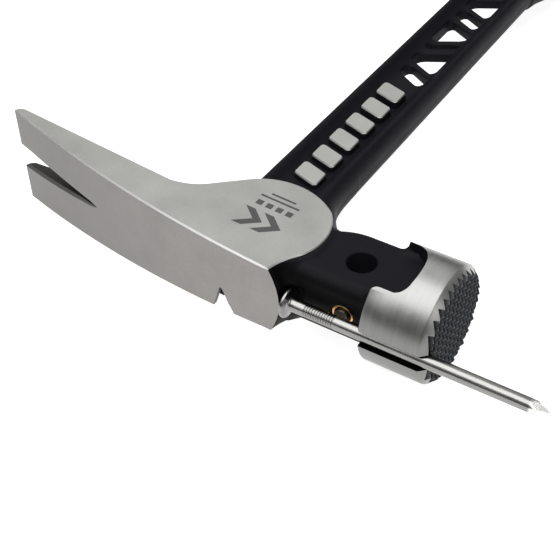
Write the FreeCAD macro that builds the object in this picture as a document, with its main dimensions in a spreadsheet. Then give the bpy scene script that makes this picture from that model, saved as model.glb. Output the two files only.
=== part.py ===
import FreeCAD
import Part
import Sketcher
import math
import os

from FreeCAD import Placement, Rotation, Vector

# Straight-claw framing hammer with a magnetic nail starter.
#
# Working frame of the geometry below, in millimetres: X runs along the head toward the striking face,
# Y runs along the handle toward the butt, Z is square to the cheek, and zero is the middle of the round
# cheek.  Every piece is then placed so that the finished tool lies on its side on the ground plane with
# the origin under the middle of its bounding box.

SIZES = [
    # forging: straight claw and cheek
    ("claw_reach", 98.3),
    ("claw_tip_half", 18.5),
    ("cheek_half", 12.45),
    ("cheek_corner_x", 12.5),
    ("outer_face_y", 18.1),
    ("head_blank", 44.0),
    ("claw_notch_mouth", 4.2),
    ("claw_notch_root", 59.0),
    # forging: neck between cheek and bell
    ("neck_half", 10.8),
    ("neck_outer_y", 12.6),
    ("neck_inner_y", 12.5),
    ("neck_start", 6.0),
    ("neck_length", 40.0),
    ("neck_hole_x", 33.3),
    ("neck_hole_radius", 4.5),
    # forging: bell and milled face
    ("bell_start", 42.4),
    ("bell_radius", 18.5),
    ("face_x", 63.9),
    ("face_radius", 16.8),
    ("recess_half", 10.7),
    ("recess_straight", 49.5),
    ("recess_crown", 53.2),
    ("waffle_pitch", 2.75),
    ("waffle_depth", 1.2),
    ("waffle_land", 0.36),
    # nail starter
    ("nail_axis_y", 15.9),
    ("nail_radius", 2.1),
    ("nail_head_radius", 4.75),
    ("nail_head_thick", 1.3),
    ("nail_start", 17.2),
    ("nail_length", 82.5),
    ("nail_point", 5.5),
    ("slot_half", 2.9),
    ("slot_floor_y", 13.45),
    ("head_seat_radius", 5.1),
    ("head_seat_start", 16.8),
    ("head_seat_length", 3.4),
    ("magnet_x", 34.0),
    ("magnet_radius", 2.9),
    ("magnet_face_y", 13.2),
    ("rim_radius", 3.6),
    ("rim_depth", 5.8),
    ("rim_sunk", 0.9),
    # side nail puller in the outer face
    ("puller_lip", 3.0),
    ("puller_relief", 6.0),
    # skeleton shank
    ("shank_axis_x", 5.6),
    ("shank_half_head", 13.45),
    ("shank_half_grip", 12.35),
    ("shank_thick_half", 7.5),
    ("shank_corner", 6.3),
    ("shank_end", 187.0),
    ("trough_half", 7.6),
    ("trough_floor_head", 3.2),
    ("trough_floor_grip", 1.1),
    ("trough_start", 25.0),
    ("trough_end", 173.0),
    ("pad_top", 5.3),
    ("pad_first", 34.6),
    ("pad_pitch", 10.8),
    ("pad_length", 7.2),
    ("pad_half", 4.8),
    ("window_first", 106.2),
    ("window_period", 45.4),
    ("tang_half", 8.5),
    ("tang_thick_half", 3.7),
    ("tang_end", 350.0),
    # grip
    ("grip_start", 183.5),
    ("grip_end", 358.0),
    ("skin_thick", 3.2),
    ("fit_gap", 0.06),
    ("inlay_start", 214.0),
    ("inlay_end", 326.0),
    ("inlay_half", 7.6),
    ("inlay_gap", 0.15),
    ("inlay_sunk", 0.4),
    ("butt_end", 376.0),
    ("eyelet_y", 366.0),
    ("eyelet_radius", 4.2),
    ("eyelet_bore", 3.2),
    ("eyelet_half", 18.3),
    # place of the working frame's zero in the finished part
    ("origin_x", -0.7),
    ("origin_y", -177.675),
    ("origin_z", 18.5),
]

document = FreeCAD.newDocument("framing_hammer")
sheet = document.addObject("Spreadsheet::Sheet", "sizes")
for row, (alias, value) in enumerate(SIZES, start=1):
    sheet.set("A%d" % row, alias)
    sheet.set("B%d" % row, str(value))
    sheet.setAlias("B%d" % row, alias)
document.recompute()


def size(alias):
    return float(sheet.get(alias))


# ---------------------------------------------------------------- sketch helpers

def via(x, y):
    """A point that an arc passes through, between two corner points."""
    return (x, y, "via")


def add_loop(sketch, loop):
    """Draw one closed outline: corner points joined by lines, or by arcs where a via point stands between."""
    corners = [i for i, point in enumerate(loop) if len(point) == 2]
    first = len(sketch.Geometry)
    ends = []
    for n, i in enumerate(corners):
        j = corners[(n + 1) % len(corners)]
        start = Vector(loop[i][0], loop[i][1], 0)
        end = Vector(loop[j][0], loop[j][1], 0)
        between = loop[(i + 1) % len(loop)]
        if len(between) == 3:
            middle = Vector(between[0], between[1], 0)
            turns_left = (middle - start).cross(end - middle).z > 0
            # A sketch keeps every arc counter-clockwise, so a right-hand one is drawn from its far end.
            curve = Part.Arc(start, middle, end) if turns_left else Part.Arc(end, middle, start)
            sketch.addGeometry(curve, False)
            ends.append((1, 2) if turns_left else (2, 1))
        else:
            sketch.addGeometry(Part.LineSegment(start, end), False)
            ends.append((1, 2))
    for n in range(len(ends)):
        m = (n + 1) % len(ends)
        sketch.addConstraint(Sketcher.Constraint("Coincident", first + n, ends[n][1], first + m, ends[m][0]))


def rounded(points, radii):
    """Corner points with every corner rounded off: a loop of points and via points."""
    count = len(points)
    if not isinstance(radii, (list, tuple)):
        radii = [radii] * count
    loop = []
    for i, point in enumerate(points):
        corner = Vector(point[0], point[1], 0)
        before = Vector(*points[i - 1], 0).sub(corner)
        after = Vector(*points[(i + 1) % count], 0).sub(corner)
        before.normalize()
        after.normalize()
        half_angle = before.getAngle(after) / 2
        reach = radii[i] / math.tan(half_angle)
        bisector = before + after
        bisector.normalize()
        middle = corner + bisector * (radii[i] / math.sin(half_angle) - radii[i])
        enter = corner + before * reach
        leave = corner + after * reach
        loop += [(enter.x, enter.y), via(middle.x, middle.y), (leave.x, leave.y)]
    return loop


def rounded_box(half_x, half_y, radius, middle_x=0.0, middle_y=0.0):
    corners = [(-1, -1), (1, -1), (1, 1), (-1, 1)]
    return rounded([(middle_x + i * half_x, middle_y + j * half_y) for i, j in corners], radius)


def origin_plane(body, role):
    for feature in body.Origin.OriginFeatures:
        if feature.Role == role:
            return feature
    raise ValueError(role)


def new_sketch(body, name, role, loops, offset=0.0):
    """A sketch on one of the body's own origin planes, moved along the plane's normal by offset."""
    sketch = body.newObject("Sketcher::SketchObject", name)
    sketch.AttachmentSupport = [(origin_plane(body, role), "")]
    sketch.MapMode = "FlatFace"
    sketch.AttachmentOffset = Placement(Vector(0, 0, offset), Rotation())
    for loop in loops:
        add_loop(sketch, loop)
    return sketch


def new_body(label):
    body = document.addObject("PartDesign::Body", label)
    body.Label = label
    return body


def pad(body, sketch, name, length, both_sides=False, reverse=False):
    feature = body.newObject("PartDesign::Pad", name)
    feature.Profile = sketch
    feature.setExpression("Length", length)
    feature.Midplane = both_sides
    feature.Reversed = reverse
    return feature


def pocket(body, sketch, name, length=None, reverse=False):
    """Cut a sketch out: to a depth, or right through on both sides when no depth is given."""
    feature = body.newObject("PartDesign::Pocket", name)
    feature.Profile = sketch
    if length is None:
        feature.Type = "ThroughAll"
        feature.Midplane = True
    else:
        feature.setExpression("Length", length)
        feature.Reversed = reverse
    document.recompute()
    return feature


def loft(body, sketches, name, kind="PartDesign::AdditiveLoft"):
    feature = body.newObject(kind, name)
    feature.Profile = sketches[0]
    feature.Sections = sketches[1:]
    feature.Ruled = False
    return feature


def removes(body, feature):
    """Stop if a cut took nothing away."""
    document.recompute()
    base = feature.BaseFeature
    if feature.Shape.Volume > base.Shape.Volume - 0.01:
        raise RuntimeError("%s in %s cuts nothing" % (feature.Label, body.Label))


def place(piece):
    """Bind a finished piece's place to the sheet."""
    for axis in "xyz":
        piece.setExpression("Placement.Base." + axis, "sizes.origin_" + axis)


pieces = []

# ---------------------------------------------------------------- the one-piece forging

forging = new_body("forged_body")
claw_x = -size("claw_reach")
corner_x = size("cheek_corner_x")
outer_y = -size("outer_face_y")
cheek = size("cheek_half")
tip_half = size("claw_tip_half")

# Plan of claw and cheek: a long shallow outer curve, the dished corner beside the neck, the round cheek,
# and the nearly straight inner side of the claw with a blunt ground tip.
plan = [
    (claw_x, -0.75), via(-50.0, -11.95), (corner_x, outer_y),
    via(14.1, -12.9), (17.2, -7.8),
    via(19.75, 2.0), (15.2, 13.4),
    via(1.0, 18.65), (-13.5, 13.5),
    (-22.5, 5.0), via(-27.4, 1.2), (-34.0, -0.8),
    (-94.3, 1.6), via(-97.0, 1.0),
]
plan_sketch = new_sketch(forging, "plan_outline", "XY_Plane", [plan])
pad(forging, plan_sketch, "claw_and_cheek", "sizes.head_blank", both_sides=True)

# Dished throat: the outer face ends in a bulging edge that falls away toward the neck.
throat_sections = []
for n, (y, edge_x, bulge_x) in enumerate([(outer_y, corner_x, 16.2), (-12.6, 14.3, 18.0), (-6.0, 17.9, 21.0)]):
    outline = [(8.0, -cheek), (edge_x, -cheek), via(bulge_x, 0.0), (edge_x, cheek), (8.0, cheek)]
    throat_sections.append(new_sketch(forging, "throat_%d" % n, "XZ_Plane", [outline], -y))
loft(forging, throat_sections, "throat")

# The cheek is thinnest beside the bell and flares evenly to the claw tips.
flare = (tip_half - cheek) / (corner_x - claw_x)
far_x = claw_x - 5.0
near_x = 26.0
far_z = cheek + flare * (corner_x - far_x)
near_z = cheek + flare * (corner_x - near_x)
flare_loops = []
for side in (1, -1):
    flare_loops.append([(far_x, side * far_z), (near_x, side * near_z), (near_x, side * 30), (far_x, side * 30)])
flare_sketch = new_sketch(forging, "flare_lines", "XZ_Plane", flare_loops)
removes(forging, pocket(forging, flare_sketch, "flare"))

# V notch between the two claw prongs.
mouth = size("claw_notch_mouth")
root_x = -size("claw_notch_root")
slope = (mouth - 0.3) / (root_x - 0.3 - claw_x)
mouth_far = mouth + 5.0 * slope
notch = [(claw_x - 5.0, mouth_far), (root_x - 0.3, 0.3), via(root_x, 0.0), (root_x - 0.3, -0.3),
         (claw_x - 5.0, -mouth_far)]
notch_sketch = new_sketch(forging, "claw_notch_outline", "XZ_Plane", [notch])
removes(forging, pocket(forging, notch_sketch, "claw_notch"))

# Neck, more softly rounded on the nail side than on the handle side.
neck_z = size("neck_half")
neck_corners = [(-size("neck_outer_y"), -neck_z), (size("neck_inner_y"), -neck_z),
                (size("neck_inner_y"), neck_z), (-size("neck_outer_y"), neck_z)]
neck_outline = rounded(neck_corners, [4.8, 2.4, 2.4, 4.8])
neck_sketch = new_sketch(forging, "neck_section", "YZ_Plane", [neck_outline], size("neck_start"))
pad(forging, neck_sketch, "neck", "sizes.neck_length")

# Crotch fillet between the neck and the inner edge of the shank.
shank_x = -size("shank_axis_x")
shank_edge = shank_x + size("shank_half_head")
crotch = [(0.0, 8.0), (20.5, 8.0), (20.5, 12.4), via(11.6, 22.0), (shank_edge - 0.4, 38.0), (0.0, 38.0)]
crotch_sketch = new_sketch(forging, "crotch_outline", "XY_Plane", [crotch])
pad(forging, crotch_sketch, "crotch", "2 * sizes.shank_thick_half - 1.5", both_sides=True)

# Shank: a rounded bar that tapers slightly toward the grip, then the flat tang inside the grip.
thick = size("shank_thick_half")
shank_sections = []
for n, (y, half) in enumerate([(8.0, size("shank_half_head")), (size("shank_end"), size("shank_half_grip"))]):
    outline = rounded_box(half, thick, size("shank_corner"), shank_x)
    shank_sections.append(new_sketch(forging, "shank_section_%d" % n, "XZ_Plane", [outline], -y))
loft(forging, shank_sections, "shank")
tang_outline = rounded_box(size("tang_half"), size("tang_thick_half"), 1.5, shank_x)
tang_sketch = new_sketch(forging, "tang_section", "XZ_Plane", [tang_outline], -size("shank_end") + 2.0)
pad(forging, tang_sketch, "tang", "sizes.tang_end - sizes.shank_end + 2", reverse=True)

# Shallow troughs along both broad sides leave a thin web between two rims.
for side, word in ((1, "upper"), (-1, "under")):
    trough_sections = []
    stations = [(size("trough_start"), size("trough_floor_head")), (size("trough_end"), size("trough_floor_grip"))]
    for n, (y, floor) in enumerate(stations):
        half = size("trough_half")
        corners = [(shank_x - half, side * floor), (shank_x + half, side * floor),
                   (shank_x + half + 1.4, side * (thick + 1.0)), (shank_x - half - 1.4, side * (thick + 1.0))]
        outline = rounded(corners, [1.4, 1.4, 0.3, 0.3])
        trough_sections.append(new_sketch(forging, "%s_trough_%d" % (word, n), "XZ_Plane", [outline], -y))
    trough = loft(forging, trough_sections, word + "_trough", "PartDesign::SubtractiveLoft")
    removes(forging, trough)

# Six slanted pads stand up from each trough floor near the head.
pad_half = size("pad_half")
pad_reach = size("pad_length") / 2
slant = 1.5
pad_loops = []
for n in range(6):
    y = size("pad_first") + n * size("pad_pitch")
    corners = [(shank_x - pad_half, y - pad_reach + slant), (shank_x + pad_half, y - pad_reach - slant),
               (shank_x + pad_half, y + pad_reach - slant), (shank_x - pad_half, y + pad_reach + slant)]
    pad_loops.append(rounded(corners, 1.2))
pads_sketch = new_sketch(forging, "pad_outlines", "XY_Plane", pad_loops)
pad(forging, pads_sketch, "raised_pads", "2 * sizes.pad_top", both_sides=True)

# Windows through the web: slanted slots and three-sided windows that leave a truss of struts.
window_loops = []
wide_slot = [(-5.6, 7.0), (5.7, 0.5), (5.7, -6.5), (-5.6, 0.1)]
flat_far = [(-6.0, 10.0), (-6.0, 14.0), (6.1, 20.6), (6.1, 3.4)]
narrow_slot = [(-5.6, 18.6), (5.6, 24.6), (5.6, 28.0), (-5.6, 22.0)]
flat_near = [(-6.2, 24.6), (-6.2, 42.3), (6.0, 35.6), (6.0, 31.5)]
shapes = [(wide_slot, 1.9, 2), (flat_far, 1.3, 2), (narrow_slot, 1.2, 1), (flat_near, 1.3, 1)]
for outline, radius, repeats in shapes:
    for n in range(repeats):
        shift = size("window_first") + n * size("window_period")
        corners = [(shank_x + x, shift + y) for x, y in outline]
        window_loops.append(rounded(corners, radius))
window_sketch = new_sketch(forging, "window_outlines", "XY_Plane", window_loops)
removes(forging, pocket(forging, window_sketch, "windows"))

# Bell: a turned drum with a chamfered rim.
bell_x = size("bell_start")
bell_r = size("bell_radius")
face_x = size("face_x")
face_r = size("face_radius")
rim = bell_r - face_r
profile = [(bell_x, 0.0), (bell_x, bell_r - 0.8), (bell_x + 0.8, bell_r), (face_x - rim, bell_r),
           (face_x, face_r), (face_x, 0.0)]
bell_sketch = new_sketch(forging, "bell_profile", "XY_Plane", [profile])
bell = forging.newObject("PartDesign::Revolution", "bell")
bell.Profile = bell_sketch
bell.ReferenceAxis = (bell_sketch, ["H_Axis"])
bell.Angle = 360

# The neck's broad sides run on into the bell as two rounded recesses.
half = size("recess_half")
straight = size("recess_straight")
recess = [(38.0, -half), (straight, -half), via(size("recess_crown"), 0.0), (straight, half), (38.0, half)]
for side, word in ((1, "upper"), (-1, "under")):
    sketch = new_sketch(forging, word + "_recess_outline", "XY_Plane", [recess], side * neck_z)
    removes(forging, pocket(forging, sketch, word + "_recess", "12 mm", reverse=side > 0))

# Milled face: two crossing sets of V grooves leave rows of small pyramids.
pitch = size("waffle_pitch")
depth = size("waffle_depth")
groove_half = (pitch - size("waffle_land")) / 2
grooves = []
for n in range(12):
    middle = (n - 5.5) * pitch
    grooves.append([(face_x - depth, middle), (face_x + 0.3, middle + groove_half * 1.25),
                    (face_x + 0.3, middle - groove_half * 1.25)])
for role, word in (("XY_Plane", "upright"), ("XZ_Plane", "level")):
    sketch = new_sketch(forging, word + "_groove_lines", role, grooves)
    removes(forging, pocket(forging, sketch, word + "_grooves"))

# Nail slot along the outer side of the bell, open at the face.
slot = size("slot_half")
slot_loop = [(bell_x - 2.0, -slot), (face_x + 1.0, -slot), (face_x + 1.0, slot), (bell_x - 2.0, slot)]
slot_sketch = new_sketch(forging, "slot_outline", "XZ_Plane", [slot_loop], size("slot_floor_y"))
removes(forging, pocket(forging, slot_sketch, "nail_slot", "8 mm", reverse=True))

# Round seat that lets the nail head drop in against the throat.
seat_y = -size("nail_axis_y")
head_seat_r = size("head_seat_radius")
head_seat = [(seat_y - head_seat_r, 0.0), via(seat_y, head_seat_r), (seat_y + head_seat_r, 0.0),
             via(seat_y, -head_seat_r)]
head_seat_sketch = new_sketch(forging, "head_seat_outline", "YZ_Plane", [head_seat], size("head_seat_start"))
removes(forging, pocket(forging, head_seat_sketch, "head_seat", "sizes.head_seat_length", reverse=True))

# Hole through the neck, and the round seat of the magnet in its outer side.
hole_x = size("neck_hole_x")
hole_r = size("neck_hole_radius")
hole_loop = [(hole_x - hole_r, 0.0), via(hole_x, hole_r), (hole_x + hole_r, 0.0), via(hole_x, -hole_r)]
hole_sketch = new_sketch(forging, "neck_hole_outline", "XY_Plane", [hole_loop])
removes(forging, pocket(forging, hole_sketch, "neck_hole"))
seat_r = size("rim_radius")
magnet_x = size("magnet_x")
seat_loop = [(magnet_x - seat_r, 0.0), via(magnet_x, seat_r), (magnet_x + seat_r, 0.0), via(magnet_x, -seat_r)]
seat_sketch = new_sketch(forging, "magnet_seat_outline", "XZ_Plane", [seat_loop], size("neck_outer_y") + 0.5)
removes(forging, pocket(forging, seat_sketch, "magnet_seat", "sizes.rim_depth + 0.5"))

# Side nail puller: a V cut in the outer face with a relief behind its lip, open on the under side only.
lip_y = size("outer_face_y") - size("puller_lip")
puller_loop = rounded([(-9.4, -14.2), (-5.9, -3.6), (-0.6, -14.2), (-0.6, -20.0), (-9.4, -20.0)],
                      [0.5, 0.5, 0.5, 0.5, 0.5])
puller_sketch = new_sketch(forging, "puller_outline", "XZ_Plane", [puller_loop], lip_y - 0.2)
removes(forging, pocket(forging, puller_sketch, "puller_notch", "8 mm", reverse=True))
relief_loop = rounded([(-12.0, -20.0), (-12.0, -6.5), (-7.5, -2.4), (-4.0, -2.4), (2.5, -9.0), (2.5, -20.0)], 1.0)
relief_sketch = new_sketch(forging, "relief_outline", "XZ_Plane", [relief_loop], lip_y)
removes(forging, pocket(forging, relief_sketch, "puller_relief", "sizes.puller_relief"))
pieces.append(forging)

# ---------------------------------------------------------------- magnet and its rim

seat_floor = -(size("neck_outer_y") - size("rim_depth"))
gap = size("fit_gap")


def bar_along_y(name, radius, length, y):
    """A cylinder along -Y from y, on the magnet's axis."""
    bar = document.addObject("Part::Cylinder", name)
    bar.setExpression("Radius", radius)
    bar.setExpression("Height", length)
    bar.Placement = Placement(Vector(magnet_x, y, 0), Rotation(Vector(1, 0, 0), 90))
    return bar


rim_outer = bar_along_y("rim_outer", "sizes.rim_radius - sizes.fit_gap",
                        "sizes.rim_depth - sizes.rim_sunk - sizes.fit_gap",
                        seat_floor - gap)
rim_inner = bar_along_y("rim_inner", "sizes.magnet_radius + sizes.fit_gap", "sizes.rim_depth + 2",
                        seat_floor + 1.0)
magnet_sleeve = document.addObject("Part::Cut", "magnet_sleeve")
magnet_sleeve.Base = rim_outer
magnet_sleeve.Tool = rim_inner
magnet_sleeve.Label = "magnet_sleeve"
pieces.append(magnet_sleeve)

magnet = new_body("nail_magnet")
magnet_r = size("magnet_radius")
magnet_top = size("magnet_face_y")
magnet_bottom = -seat_floor + gap
magnet_profile = [(0.0, -magnet_bottom), (magnet_r, -magnet_bottom), (magnet_r, -magnet_top + 0.4),
                  (magnet_r - 0.4, -magnet_top), (0.0, -magnet_top)]
magnet_sketch = new_sketch(magnet, "magnet_profile", "XY_Plane", [magnet_profile])
magnet_turn = magnet.newObject("PartDesign::Revolution", "magnet_disc")
magnet_turn.Profile = magnet_sketch
magnet_turn.ReferenceAxis = (magnet_sketch, ["V_Axis"])
magnet_turn.Angle = 360
pieces.append(magnet)

# ---------------------------------------------------------------- nail

# Flat head, smooth shank and a four-sided point, turned about the working X axis.
nail = new_body("nail")
nail_r = size("nail_radius")
head_r = size("nail_head_radius")
head_t = size("nail_head_thick")
nail_end = size("nail_length")
nail_profile = [(0.0, 0.0), (0.0, head_r - 0.25), (0.25, head_r), (head_t * 0.75, head_r),
                (head_t + 0.9, nail_r), (nail_end, nail_r), (nail_end, 0.0)]
nail_sketch = new_sketch(nail, "nail_profile", "XY_Plane", [nail_profile])
nail_turn = nail.newObject("PartDesign::Revolution", "nail_blank")
nail_turn.Profile = nail_sketch
nail_turn.ReferenceAxis = (nail_sketch, ["H_Axis"])
nail_turn.Angle = 360
point_start = nail_end - size("nail_point")
point_loops = []
for side in (1, -1):
    point_loops.append([(point_start, side * nail_r), (nail_end, side * 0.2), (nail_end + 1, side * 0.2),
                        (nail_end + 1, side * (nail_r + 1)), (point_start, side * (nail_r + 1))])
for role, word in (("XY_Plane", "flat"), ("XZ_Plane", "upright")):
    sketch = new_sketch(nail, word + "_point_lines", role, point_loops)
    removes(nail, pocket(nail, sketch, word + "_point"))
pieces.append(nail)

# ---------------------------------------------------------------- grip

# Stations along the handle: distance from the cheek, half width and half thickness of the skin.  The
# front lip is thin and the grip swells behind it.
GRIP = [(183.5, 12.85, 8.1), (189.5, 13.5, 8.9), (203.0, 15.9, 12.1), (225.0, 16.7, 13.2),
        (262.0, 17.8, 14.3), (305.0, 16.3, 13.1), (335.0, 16.9, 13.7), (358.0, 19.6, 16.2)]
skin = size("skin_thick")


def grip_sections(body, name, inset, first=0):
    """Lofting sections of the grip, set in from the skin's outer surface by inset."""
    sections = []
    for n, (y, half_x, half_z) in enumerate(GRIP[first:]):
        outline = rounded_box(half_x - inset, half_z - inset, 0.8 * (half_z - inset), shank_x)
        sections.append(new_sketch(body, "%s_%d" % (name, n), "XZ_Plane", [outline], -y))
    return sections


def core_sections(body, name, extra):
    """Sections of the hard core, whose first station is the shoulder at the end of the shank."""
    stations = [(size("shank_end") + 0.3, 13.6, 10.0)] + GRIP[2:]
    sections = []
    for n, (y, half_x, half_z) in enumerate(stations):
        outline = rounded_box(half_x - skin + extra, half_z - skin + extra, 0.8 * (half_z - skin), shank_x)
        sections.append(new_sketch(body, "%s_%d" % (name, n), "XZ_Plane", [outline], -y))
    return sections


grip_core = new_body("grip_core")
loft(grip_core, core_sections(grip_core, "core", 0.0), "core_block")
tang_hole = rounded_box(size("tang_half") + gap, size("tang_thick_half") + gap, 1.5, shank_x)
tang_hole_sketch = new_sketch(grip_core, "tang_hole_outline", "XZ_Plane", [tang_hole], -size("grip_start"))
removes(grip_core, pocket(grip_core, tang_hole_sketch, "tang_hole",
                          "sizes.tang_end - sizes.grip_start + sizes.fit_gap"))
pieces.append(grip_core)

# Windows in the skin for the two inlays: long, round-ended, narrower toward the butt.
inlay_start = size("inlay_start")
inlay_end = size("inlay_end")
inlay_half = size("inlay_half")


def inlay_outline(grow):
    corners = [(shank_x - inlay_half - grow, inlay_start - grow), (shank_x + inlay_half + grow, inlay_start - grow),
               (shank_x + inlay_half - 1.6 + grow, inlay_end + grow),
               (shank_x - inlay_half + 1.6 - grow, inlay_end + grow)]
    return rounded(corners, 4.5 + grow)


grip_sleeve = new_body("grip_sleeve")
loft(grip_sleeve, grip_sections(grip_sleeve, "skin", 0.0), "skin_block")
bore = loft(grip_sleeve, core_sections(grip_sleeve, "bore", gap * 2), "core_space", "PartDesign::SubtractiveLoft")
removes(grip_sleeve, bore)
mouth_outline = rounded_box(size("shank_half_grip") + 0.1, thick + 0.1, size("shank_corner"), shank_x)
mouth_sketch = new_sketch(grip_sleeve, "shank_space_outline", "XZ_Plane", [mouth_outline], -size("grip_start") + 1)
removes(grip_sleeve, pocket(grip_sleeve, mouth_sketch, "shank_space",
                            "sizes.shank_end - sizes.grip_start + 1.3"))
inlay_sketch = new_sketch(grip_sleeve, "inlay_windows", "XY_Plane", [inlay_outline(0.0)])
removes(grip_sleeve, pocket(grip_sleeve, inlay_sketch, "inlay_space"))
pieces.append(grip_sleeve)

# The two inlays fill the windows, slightly below the skin.
for side, label in ((1, "grip_inlay_top"), (-1, "grip_inlay_under")):
    inlay = new_body(label)
    loft(inlay, grip_sections(inlay, "inlay", size("inlay_sunk"), 2), "inlay_block")
    hollow = loft(inlay, core_sections(inlay, "hollow", gap * 2), "hollow", "PartDesign::SubtractiveLoft")
    removes(inlay, hollow)
    keep = inlay_outline(-size("inlay_gap"))
    frame = [(-60.0, 150.0), (60.0, 150.0), (60.0, 380.0), (-60.0, 380.0)]
    frame_sketch = new_sketch(inlay, "surround", "XY_Plane", [frame, keep])
    removes(inlay, pocket(inlay, frame_sketch, "trim"))
    half_sketch = new_sketch(inlay, "other_side", "XY_Plane", [frame])
    removes(inlay, pocket(inlay, half_sketch, "halve", "40 mm", reverse=side < 0))
    pieces.append(inlay)

# ---------------------------------------------------------------- butt cap and lanyard eyelet

butt_cap = new_body("butt_cap")
cap_sections = []
CAP = [(size("grip_end") + 0.1, 19.6, 16.2), (365.5, 21.2, 18.3), (372.0, 20.4, 17.6), (size("butt_end"), 17.4, 14.6)]
for n, (y, half_x, half_z) in enumerate(CAP):
    outline = rounded_box(half_x, half_z, 0.8 * half_z, shank_x)
    cap_sections.append(new_sketch(butt_cap, "cap_%d" % n, "XZ_Plane", [outline], -y))
loft(butt_cap, cap_sections, "cap_block")
eyelet_y = size("eyelet_y")
bore_r = size("eyelet_radius") + gap
bore_loop = [(shank_x - bore_r, eyelet_y), via(shank_x, eyelet_y + bore_r), (shank_x + bore_r, eyelet_y),
             via(shank_x, eyelet_y - bore_r)]
bore_sketch = new_sketch(butt_cap, "eyelet_bore_outline", "XY_Plane", [bore_loop])
removes(butt_cap, pocket(butt_cap, bore_sketch, "eyelet_bore"))
pieces.append(butt_cap)

eyelet_outer = document.addObject("Part::Cylinder", "eyelet_outer")
eyelet_outer.setExpression("Radius", "sizes.eyelet_radius")
eyelet_outer.setExpression("Height", "2 * sizes.eyelet_half")
eyelet_inner = document.addObject("Part::Cylinder", "eyelet_inner")
eyelet_inner.setExpression("Radius", "sizes.eyelet_bore")
eyelet_inner.setExpression("Height", "2 * sizes.eyelet_half + 4")
eyelet_outer.Placement.Base = Vector(shank_x, eyelet_y, -size("eyelet_half"))
eyelet_inner.Placement.Base = Vector(shank_x, eyelet_y, -size("eyelet_half") - 2)
eyelet = document.addObject("Part::Cut", "lanyard_eyelet")
eyelet.Base = eyelet_outer
eyelet.Tool = eyelet_inner
eyelet.Label = "lanyard_eyelet"
pieces.append(eyelet)

# ---------------------------------------------------------------- places, checks and files

for piece in pieces:
    place(piece)
# The magnet and the nail are drawn about their own axes and carried to their places.
magnet.setExpression("Placement.Base.x", "sizes.origin_x + sizes.magnet_x")
nail.setExpression("Placement.Base.x", "sizes.origin_x + sizes.nail_start")
nail.setExpression("Placement.Base.y", "sizes.origin_y - sizes.nail_axis_y")
document.recompute()

for item in document.Objects:
    if "Invalid" in item.State or "Error" in item.State:
        raise RuntimeError("%s failed: %s" % (item.Label, item.State))
for piece in pieces:
    if piece.Shape.isNull() or not piece.Shape.isValid():
        raise RuntimeError("%s has no valid shape" % piece.Label)
    if len(piece.Shape.Solids) != 1:
        raise RuntimeError("%s has %d solids" % (piece.Label, len(piece.Shape.Solids)))

os.makedirs("parts", exist_ok=True)
for piece in pieces:
    piece.Shape.exportStep("parts/%s.step" % piece.Label)
    box = piece.Shape.BoundBox
    print("%-18s %9.1f mm3  x %7.2f %7.2f  y %7.2f %7.2f  z %6.2f %6.2f"
          % (piece.Label, piece.Shape.Volume, box.XMin, box.XMax, box.YMin, box.YMax, box.ZMin, box.ZMax))
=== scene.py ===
import math

import bmesh
import bpy
import numpy as np
from mathutils import Matrix, Vector


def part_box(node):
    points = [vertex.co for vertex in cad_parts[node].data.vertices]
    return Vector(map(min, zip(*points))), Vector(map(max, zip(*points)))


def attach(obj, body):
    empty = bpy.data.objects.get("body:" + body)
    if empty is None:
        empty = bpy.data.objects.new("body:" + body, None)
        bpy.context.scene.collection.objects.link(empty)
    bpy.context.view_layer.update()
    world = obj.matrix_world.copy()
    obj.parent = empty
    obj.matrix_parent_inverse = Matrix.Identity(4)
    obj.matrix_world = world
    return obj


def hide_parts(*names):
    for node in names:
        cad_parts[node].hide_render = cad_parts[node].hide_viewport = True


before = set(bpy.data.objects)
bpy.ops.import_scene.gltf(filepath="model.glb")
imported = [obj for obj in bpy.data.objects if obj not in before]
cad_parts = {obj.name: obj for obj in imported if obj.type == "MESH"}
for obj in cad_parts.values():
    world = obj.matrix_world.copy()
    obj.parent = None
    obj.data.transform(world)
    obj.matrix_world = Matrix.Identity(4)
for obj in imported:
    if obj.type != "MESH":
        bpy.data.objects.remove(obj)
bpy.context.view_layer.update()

# Looks for a straight-claw framing hammer with a loaded nail.
#
# Shapes are worked out in the design's own millimetres: X runs toward the striking face, Y toward the butt,
# Z is square to the cheek, and zero is the middle of the round cheek.  The nail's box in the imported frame
# says where that zero lies.

MM = 0.001
NAIL_START = 17.2
NAIL_AXIS_Y = -15.9
NAIL_LOW, NAIL_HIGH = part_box("nail")
ZERO = np.array([
    NAIL_LOW.x - NAIL_START * MM,
    (NAIL_LOW.y + NAIL_HIGH.y) / 2 - NAIL_AXIS_Y * MM,
    (NAIL_LOW.z + NAIL_HIGH.z) / 2,
])

# head
CLAW_REACH = 98.3
CLAW_TIP_HALF = 18.5
NOTCH_ROOT = -58.6
NOTCH_TIP_HALF = 4.2
CHEEK_HALF = 12.45
CORNER_X = 12.5
OUTER_Y = -18.1
FLARE = (CLAW_TIP_HALF - CHEEK_HALF) / (CORNER_X + CLAW_REACH)
CHEEK_CENTRE_X = 0.5
CHEEK_RADIUS = 19.25
THROAT_BULGE = 3.5
NECK_HALF_Y = 12.55
NECK_HALF_Z = 10.8
COAT_DROP = 0.42
HOLE_X = 33.3
HOLE_RADIUS = 4.5
MAGNET_X = 34.0
MAGNET_SEAT_RADIUS = 3.64
HEAD_SEAT_START, HEAD_SEAT_END = 16.8, 20.6
HEAD_SEAT_RADIUS = 5.1
BELL_START = 42.4
BELL_RADIUS = 18.5
FACE_X = 63.9
FACE_RADIUS = 16.3
RECESS_HALF = 10.7
SLOT_HALF = 2.9
SLOT_FLOOR = -13.45
WAFFLE_PITCH = 2.75
COLUMN_DEPTH = 1.35
ROW_DEPTH = 0.9
WAFFLE_LAND = 0.34

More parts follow.
